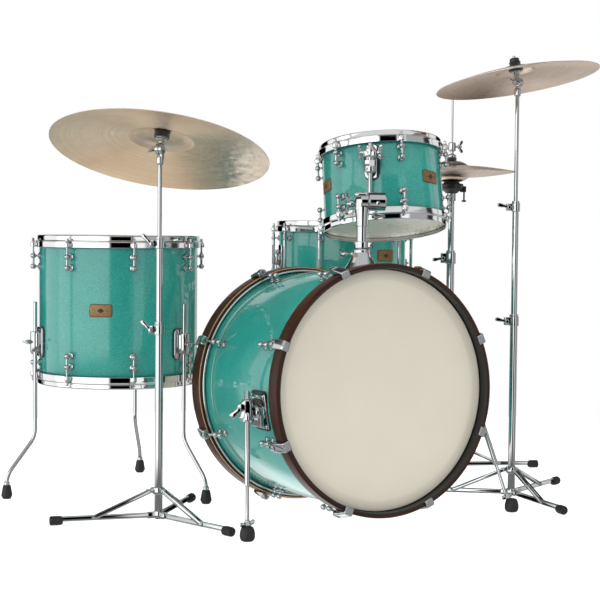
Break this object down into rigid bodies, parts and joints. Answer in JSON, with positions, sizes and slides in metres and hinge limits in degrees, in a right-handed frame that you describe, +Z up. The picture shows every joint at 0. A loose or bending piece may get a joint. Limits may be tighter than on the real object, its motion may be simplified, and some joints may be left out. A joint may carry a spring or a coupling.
{
  "type": "acoustic drum kit",
  "caption": "Acoustic drum kit: bass drum with spurs, rack tom, floor tom, snare drum, hi-hat and cymbals on folding stands.",
  "frame": {"origin": "centre of the kit's bounding box, on the floor", "axes": "+Z up; +X along the kit's width, from the floor tom to the hi-hat; -Y is the audience side that the bass drum's front faces; the drummer sits at +Y"},
  "size_m": [1.55, 1.05, 1.1307],
  "materials": {
    "shell_lacquer": "turquoise sparkle lacquer, high gloss",
    "hoop_wood": "dark brown satin lacquer",
    "hoop_chrome": "polished chrome",
    "chrome_hardware": "polished chrome",
    "drumhead": "coated film, matt",
    "cymbal_bronze": "hammered and lathed bronze",
    "rubber": "moulded rubber",
    "black_plastic": "moulded black plastic",
    "felt": "pressed wool felt",
    "badge_metal": "antique bronze plate"
  },
  "bodies": {
    "kit": {"bass_shell": "shell_lacquer", "bass_batter_head": "drumhead", "bass_front_head": "drumhead", "bass_batter_hoop": "hoop_wood", "bass_front_hoop": "hoop_wood", "tom_mount_base": "chrome_hardware", "floor_shell": "shell_lacquer", "floor_batter_head": "drumhead", "floor_batter_hoop": "hoop_chrome", "floor_resonant_hoop": "hoop_chrome", "snare_stand_base": "chrome_hardware", "hihat_base": "chrome_hardware", "ride_stand_base": "chrome_hardware", "crash_stand_base": "chrome_hardware"},
    "spur_left": {"spur_left": "chrome_hardware"},
    "spur_right": {"spur_right": "chrome_hardware"},
    "tom_post": {"tom_post": "chrome_hardware"},
    "tom_head": {"tom_head_block": "chrome_hardware"},
    "tom_arm": {"tom_arm": "chrome_hardware"},
    "rack_tom": {"rack_shell": "shell_lacquer", "rack_batter_head": "drumhead", "rack_batter_hoop": "hoop_chrome", "rack_resonant_hoop": "hoop_chrome"},
    "floor_leg_1": {"floor_leg_1": "chrome_hardware"},
    "floor_leg_2": {"floor_leg_2": "chrome_hardware"},
    "floor_leg_3": {"floor_leg_3": "chrome_hardware"},
    "snare_post": {"snare_stand_post": "chrome_hardware"},
    "snare": {"snare_stand_basket": "chrome_hardware", "snare_shell": "shell_lacquer", "snare_batter_head": "drumhead", "snare_batter_hoop": "hoop_chrome", "snare_resonant_hoop": "hoop_chrome"},
    "throw_off_lever": {"snare_throw_off_lever": "chrome_hardware"},
    "hihat_upper": {"hihat_upper_tube": "chrome_hardware", "hihat_bottom_cymbal": "cymbal_bronze"},
    "hihat_rod": {"hihat_pull_rod": "chrome_hardware", "hihat_top_cymbal": "cymbal_bronze"},
    "hihat_pedal": {"hihat_pedal": "chrome_hardware"},
    "ride_mid": {"ride_mid_tube": "chrome_hardware"},
    "ride_rod": {"ride_top_rod": "chrome_hardware"},
    "ride_tilter": {"ride_tilter": "chrome_hardware"},
    "ride_cymbal": {"ride_cymbal": "cymbal_bronze"},
    "ride_collar": {"ride_collar": "chrome_hardware"},
    "ride_leg_1": {"ride_leg_1": "chrome_hardware"},
    "ride_brace_1": {"ride_brace_1": "chrome_hardware"},
    "ride_leg_2": {"ride_leg_2": "chrome_hardware"},
    "ride_brace_2": {"ride_brace_2": "chrome_hardware"},
    "ride_leg_3": {"ride_leg_3": "chrome_hardware"},
    "ride_brace_3": {"ride_brace_3": "chrome_hardware"},
    "crash_mid": {"crash_mid_tube": "chrome_hardware"},
    "crash_rod": {"crash_top_rod": "chrome_hardware"},
    "crash_tilter": {"crash_tilter": "chrome_hardware"},
    "crash_cymbal": {"crash_cymbal": "cymbal_bronze"},
    "crash_collar": {"crash_collar": "chrome_hardware"},
    "crash_leg_1": {"crash_leg_1": "chrome_hardware"},
    "crash_brace_1": {"crash_brace_1": "chrome_hardware"},
    "crash_leg_2": {"crash_leg_2": "chrome_hardware"},
    "crash_brace_2": {"crash_brace_2": "chrome_hardware"},
    "crash_leg_3": {"crash_leg_3": "chrome_hardware"},
    "crash_brace_3": {"crash_brace_3": "chrome_hardware"}
  },
  "joints": [
    {"name": "spur_left_fold", "type": "hinge", "parent": "kit", "child": "spur_left", "pos_m": [-0.36708, -0.33631, 0.27], "axis": [-1, 0, 0], "range_deg": [0, 80]},
    {"name": "spur_right_fold", "type": "hinge", "parent": "kit", "child": "spur_right", "pos_m": [0.20692, -0.33631, 0.27], "axis": [-1, 0, 0], "range_deg": [0, 80]},
    {"name": "tom_post_height", "type": "slide", "parent": "kit", "child": "tom_post", "axis": [0, 0, 1], "range_m": [0, 0.06]},
    {"name": "tom_holder_swivel", "type": "hinge", "parent": "tom_post", "child": "tom_head", "pos_m": [-0.08008, -0.30931, 0.753], "axis": [0, 0, 1], "range_deg": [-15, 20]},
    {"name": "tom_holder_tilt", "type": "hinge", "parent": "tom_head", "child": "tom_arm", "pos_m": [-0.08008, -0.30931, 0.753], "axis": [0.8721, -0.4894, 0], "range_deg": [-8, 10]},
    {"name": "rack_tom_swivel", "type": "hinge", "parent": "tom_arm", "child": "rack_tom", "pos_m": [0.00192, -0.21428, 0.854], "axis": [0, 0, 1], "range_deg": [-12, 12]},
    {"name": "floor_leg_1_slide", "type": "slide", "parent": "kit", "child": "floor_leg_1", "axis": [0, 0, 1], "range_m": [0, 0.04]},
    {"name": "floor_leg_2_slide", "type": "slide", "parent": "kit", "child": "floor_leg_2", "axis": [0, 0, 1], "range_m": [0, 0.04]},
    {"name": "floor_leg_3_slide", "type": "slide", "parent": "kit", "child": "floor_leg_3", "axis": [0, 0, 1], "range_m": [0, 0.04]},
    {"name": "snare_stand_height", "type": "slide", "parent": "kit", "child": "snare_post", "axis": [0, 0, 1], "range_m": [-0.05, 0.04]},
    {"name": "snare_basket_tilt", "type": "hinge", "parent": "snare_post", "child": "snare", "pos_m": [0.21892, 0.26869, 0.45], "axis": [-1, 0, 0], "range_deg": [-3, 10]},
    {"name": "snare_throw_off", "type": "hinge", "parent": "snare", "child": "throw_off_lever", "pos_m": [0.0234, 0.31744, 0.591], "axis": [-0.2419, -0.9703, 0], "range_deg": [0, 75]},
    {"name": "hihat_height", "type": "slide", "parent": "kit", "child": "hihat_upper", "axis": [0, 0, 1], "range_m": [-0.03, 0.12]},
    {"name": "hihat_rod_slide", "type": "slide", "parent": "hihat_upper", "child": "hihat_rod", "axis": [0, 0, 1], "range_m": [0, 0.03]},
    {"name": "hihat_pedal_hinge", "type": "hinge", "parent": "kit", "child": "hihat_pedal", "pos_m": [0.47947, 0.47073, 0.026], "axis": [-0.9903, -0.1392, 0], "range_deg": [0, 8]},
    {"name": "ride_lower_height", "type": "slide", "parent": "kit", "child": "ride_mid", "axis": [0, 0, 1], "range_m": [-0.03, 0.12]},
    {"name": "ride_upper_height", "type": "slide", "parent": "ride_mid", "child": "ride_rod", "axis": [0, 0, 1], "range_m": [-0.05, 0.1]},
    {"name": "ride_tilt", "type": "hinge", "parent": "ride_rod", "child": "ride_tilter", "pos_m": [-0.52508, -0.13431, 0.868], "axis": [-0.6626, 0.749, 0], "range_deg": [-45, 20]},
    {"name": "ride_cymbal_turn", "type": "hinge", "parent": "ride_tilter", "child": "ride_cymbal", "pos_m": [-0.51549, -0.12582, 0.90695], "axis": [0.2339, 0.207, 0.95], "continuous": true},
    {"name": "ride_tripod_fold", "type": "slide", "parent": "kit", "child": "ride_collar", "axis": [0, 0, 1], "range_m": [0, 0.21494]},
    {"name": "ride_leg_1_fold", "type": "hinge", "parent": "kit", "child": "ride_leg_1", "pos_m": [-0.51158, -0.12023, 0.014], "axis": [0.7218, -0.6921, 0], "range_deg": [0, 80.1]},
    {"name": "ride_brace_1_fold", "type": "hinge", "parent": "ride_collar", "child": "ride_brace_1", "pos_m": [-0.51158, -0.12023, 0.071], "axis": [-0.7218, 0.6921, 0], "range_deg": [0, 57.57]},
    {"name": "ride_leg_2_fold", "type": "hinge", "parent": "kit", "child": "ride_leg_2", "pos_m": [-0.54402, -0.12965, 0.014], "axis": [0.2385, 0.9711, 0], "range_deg": [0, 80.1]},
    {"name": "ride_brace_2_fold", "type": "hinge", "parent": "ride_collar", "child": "ride_brace_2", "pos_m": [-0.54402, -0.12965, 0.071], "axis": [-0.2385, -0.9711, 0], "range_deg": [0, 57.57]},
    {"name": "ride_leg_3_fold", "type": "hinge", "parent": "kit", "child": "ride_leg_3", "pos_m": [-0.51964, -0.15303, 0.014], "axis": [-0.9603, -0.279, 0], "range_deg": [0, 80.1]},
    {"name": "ride_brace_3_fold", "type": "hinge", "parent": "ride_collar", "child": "ride_brace_3", "pos_m": [-0.51964, -0.15303, 0.071], "axis": [0.9603, 0.279, 0], "range_deg": [0, 57.57]},
    {"name": "crash_lower_height", "type": "slide", "parent": "kit", "child": "crash_mid", "axis": [0, 0, 1], "range_m": [-0.02, 0.1]},
    {"name": "crash_upper_height", "type": "slide", "parent": "crash_mid", "child": "crash_rod", "axis": [0, 0, 1], "range_m": [-0.03, 0.1]},
    {"name": "crash_tilt", "type": "hinge", "parent": "crash_rod", "child": "crash_tilter", "pos_m": [0.40692, -0.27231, 1.065], "axis": [-0.866, -0.5, 0], "range_deg": [-40, 15]},
    {"name": "crash_cymbal_turn", "type": "hinge", "parent": "crash_tilter", "child": "crash_cymbal", "pos_m": [0.40332, -0.26608, 1.10536], "axis": [-0.0877, 0.1519, 0.9845], "continuous": true},
    {"name": "crash_tripod_fold", "type": "slide", "parent": "kit", "child": "crash_collar", "axis": [0, 0, 1], "range_m": [0, 0.21494]},
    {"name": "crash_leg_1_fold", "type": "hinge", "parent": "kit", "child": "crash_leg_1", "pos_m": [0.42495, -0.26488, 0.014], "axis": [0.3811, -0.9245, 0], "range_deg": [0, 80.1]},
    {"name": "crash_brace_1_fold", "type": "hinge", "parent": "crash_collar", "child": "crash_brace_1", "pos_m": [0.42495, -0.26488, 0.071], "axis": [-0.3811, 0.9245, 0], "range_deg": [0, 57.57]},
    {"name": "crash_leg_2_fold", "type": "hinge", "parent": "kit", "child": "crash_leg_2", "pos_m": [0.39147, -0.26041, 0.014], "axis": [0.6101, 0.7923, 0], "range_deg": [0, 80.1]},
    {"name": "crash_brace_2_fold", "type": "hinge", "parent": "crash_collar", "child": "crash_brace_2", "pos_m": [0.39147, -0.26041, 0.071], "axis": [-0.6101, -0.7923, 0], "range_deg": [0, 57.57]},
    {"name": "crash_leg_3_fold", "type": "hinge", "parent": "kit", "child": "crash_leg_3", "pos_m": [0.40434, -0.29163, 0.014], "axis": [-0.9912, 0.1323, 0], "range_deg": [0, 80.1]},
    {"name": "crash_brace_3_fold", "type": "hinge", "parent": "crash_collar", "child": "crash_brace_3", "pos_m": [0.40434, -0.29163, 0.071], "axis": [0.9912, -0.1323, 0], "range_deg": [0, 57.57]}
  ],
  "couplings": [
    {"joint": "hihat_pedal_hinge", "follows": "hihat_rod_slide", "rad_per_m": 4},
    {"joint": "ride_leg_1_fold", "follows": "ride_tripod_fold", "rad_per_m": 6.4962},
    {"joint": "ride_brace_1_fold", "follows": "ride_tripod_fold", "rad_per_m": 4.6668},
    {"joint": "ride_leg_2_fold", "follows": "ride_tripod_fold", "rad_per_m": 6.4962},
    {"joint": "ride_brace_2_fold", "follows": "ride_tripod_fold", "rad_per_m": 4.6668},
    {"joint": "ride_leg_3_fold", "follows": "ride_tripod_fold", "rad_per_m": 6.4962},
    {"joint": "ride_brace_3_fold", "follows": "ride_tripod_fold", "rad_per_m": 4.6668},
    {"joint": "crash_leg_1_fold", "follows": "crash_tripod_fold", "rad_per_m": 6.4962},
    {"joint": "crash_brace_1_fold", "follows": "crash_tripod_fold", "rad_per_m": 4.6668},
    {"joint": "crash_leg_2_fold", "follows": "crash_tripod_fold", "rad_per_m": 6.4962},
    {"joint": "crash_brace_2_fold", "follows": "crash_tripod_fold", "rad_per_m": 4.6668},
    {"joint": "crash_leg_3_fold", "follows": "crash_tripod_fold", "rad_per_m": 6.4962},
    {"joint": "crash_brace_3_fold", "follows": "crash_tripod_fold", "rad_per_m": 4.6668}
  ]
}
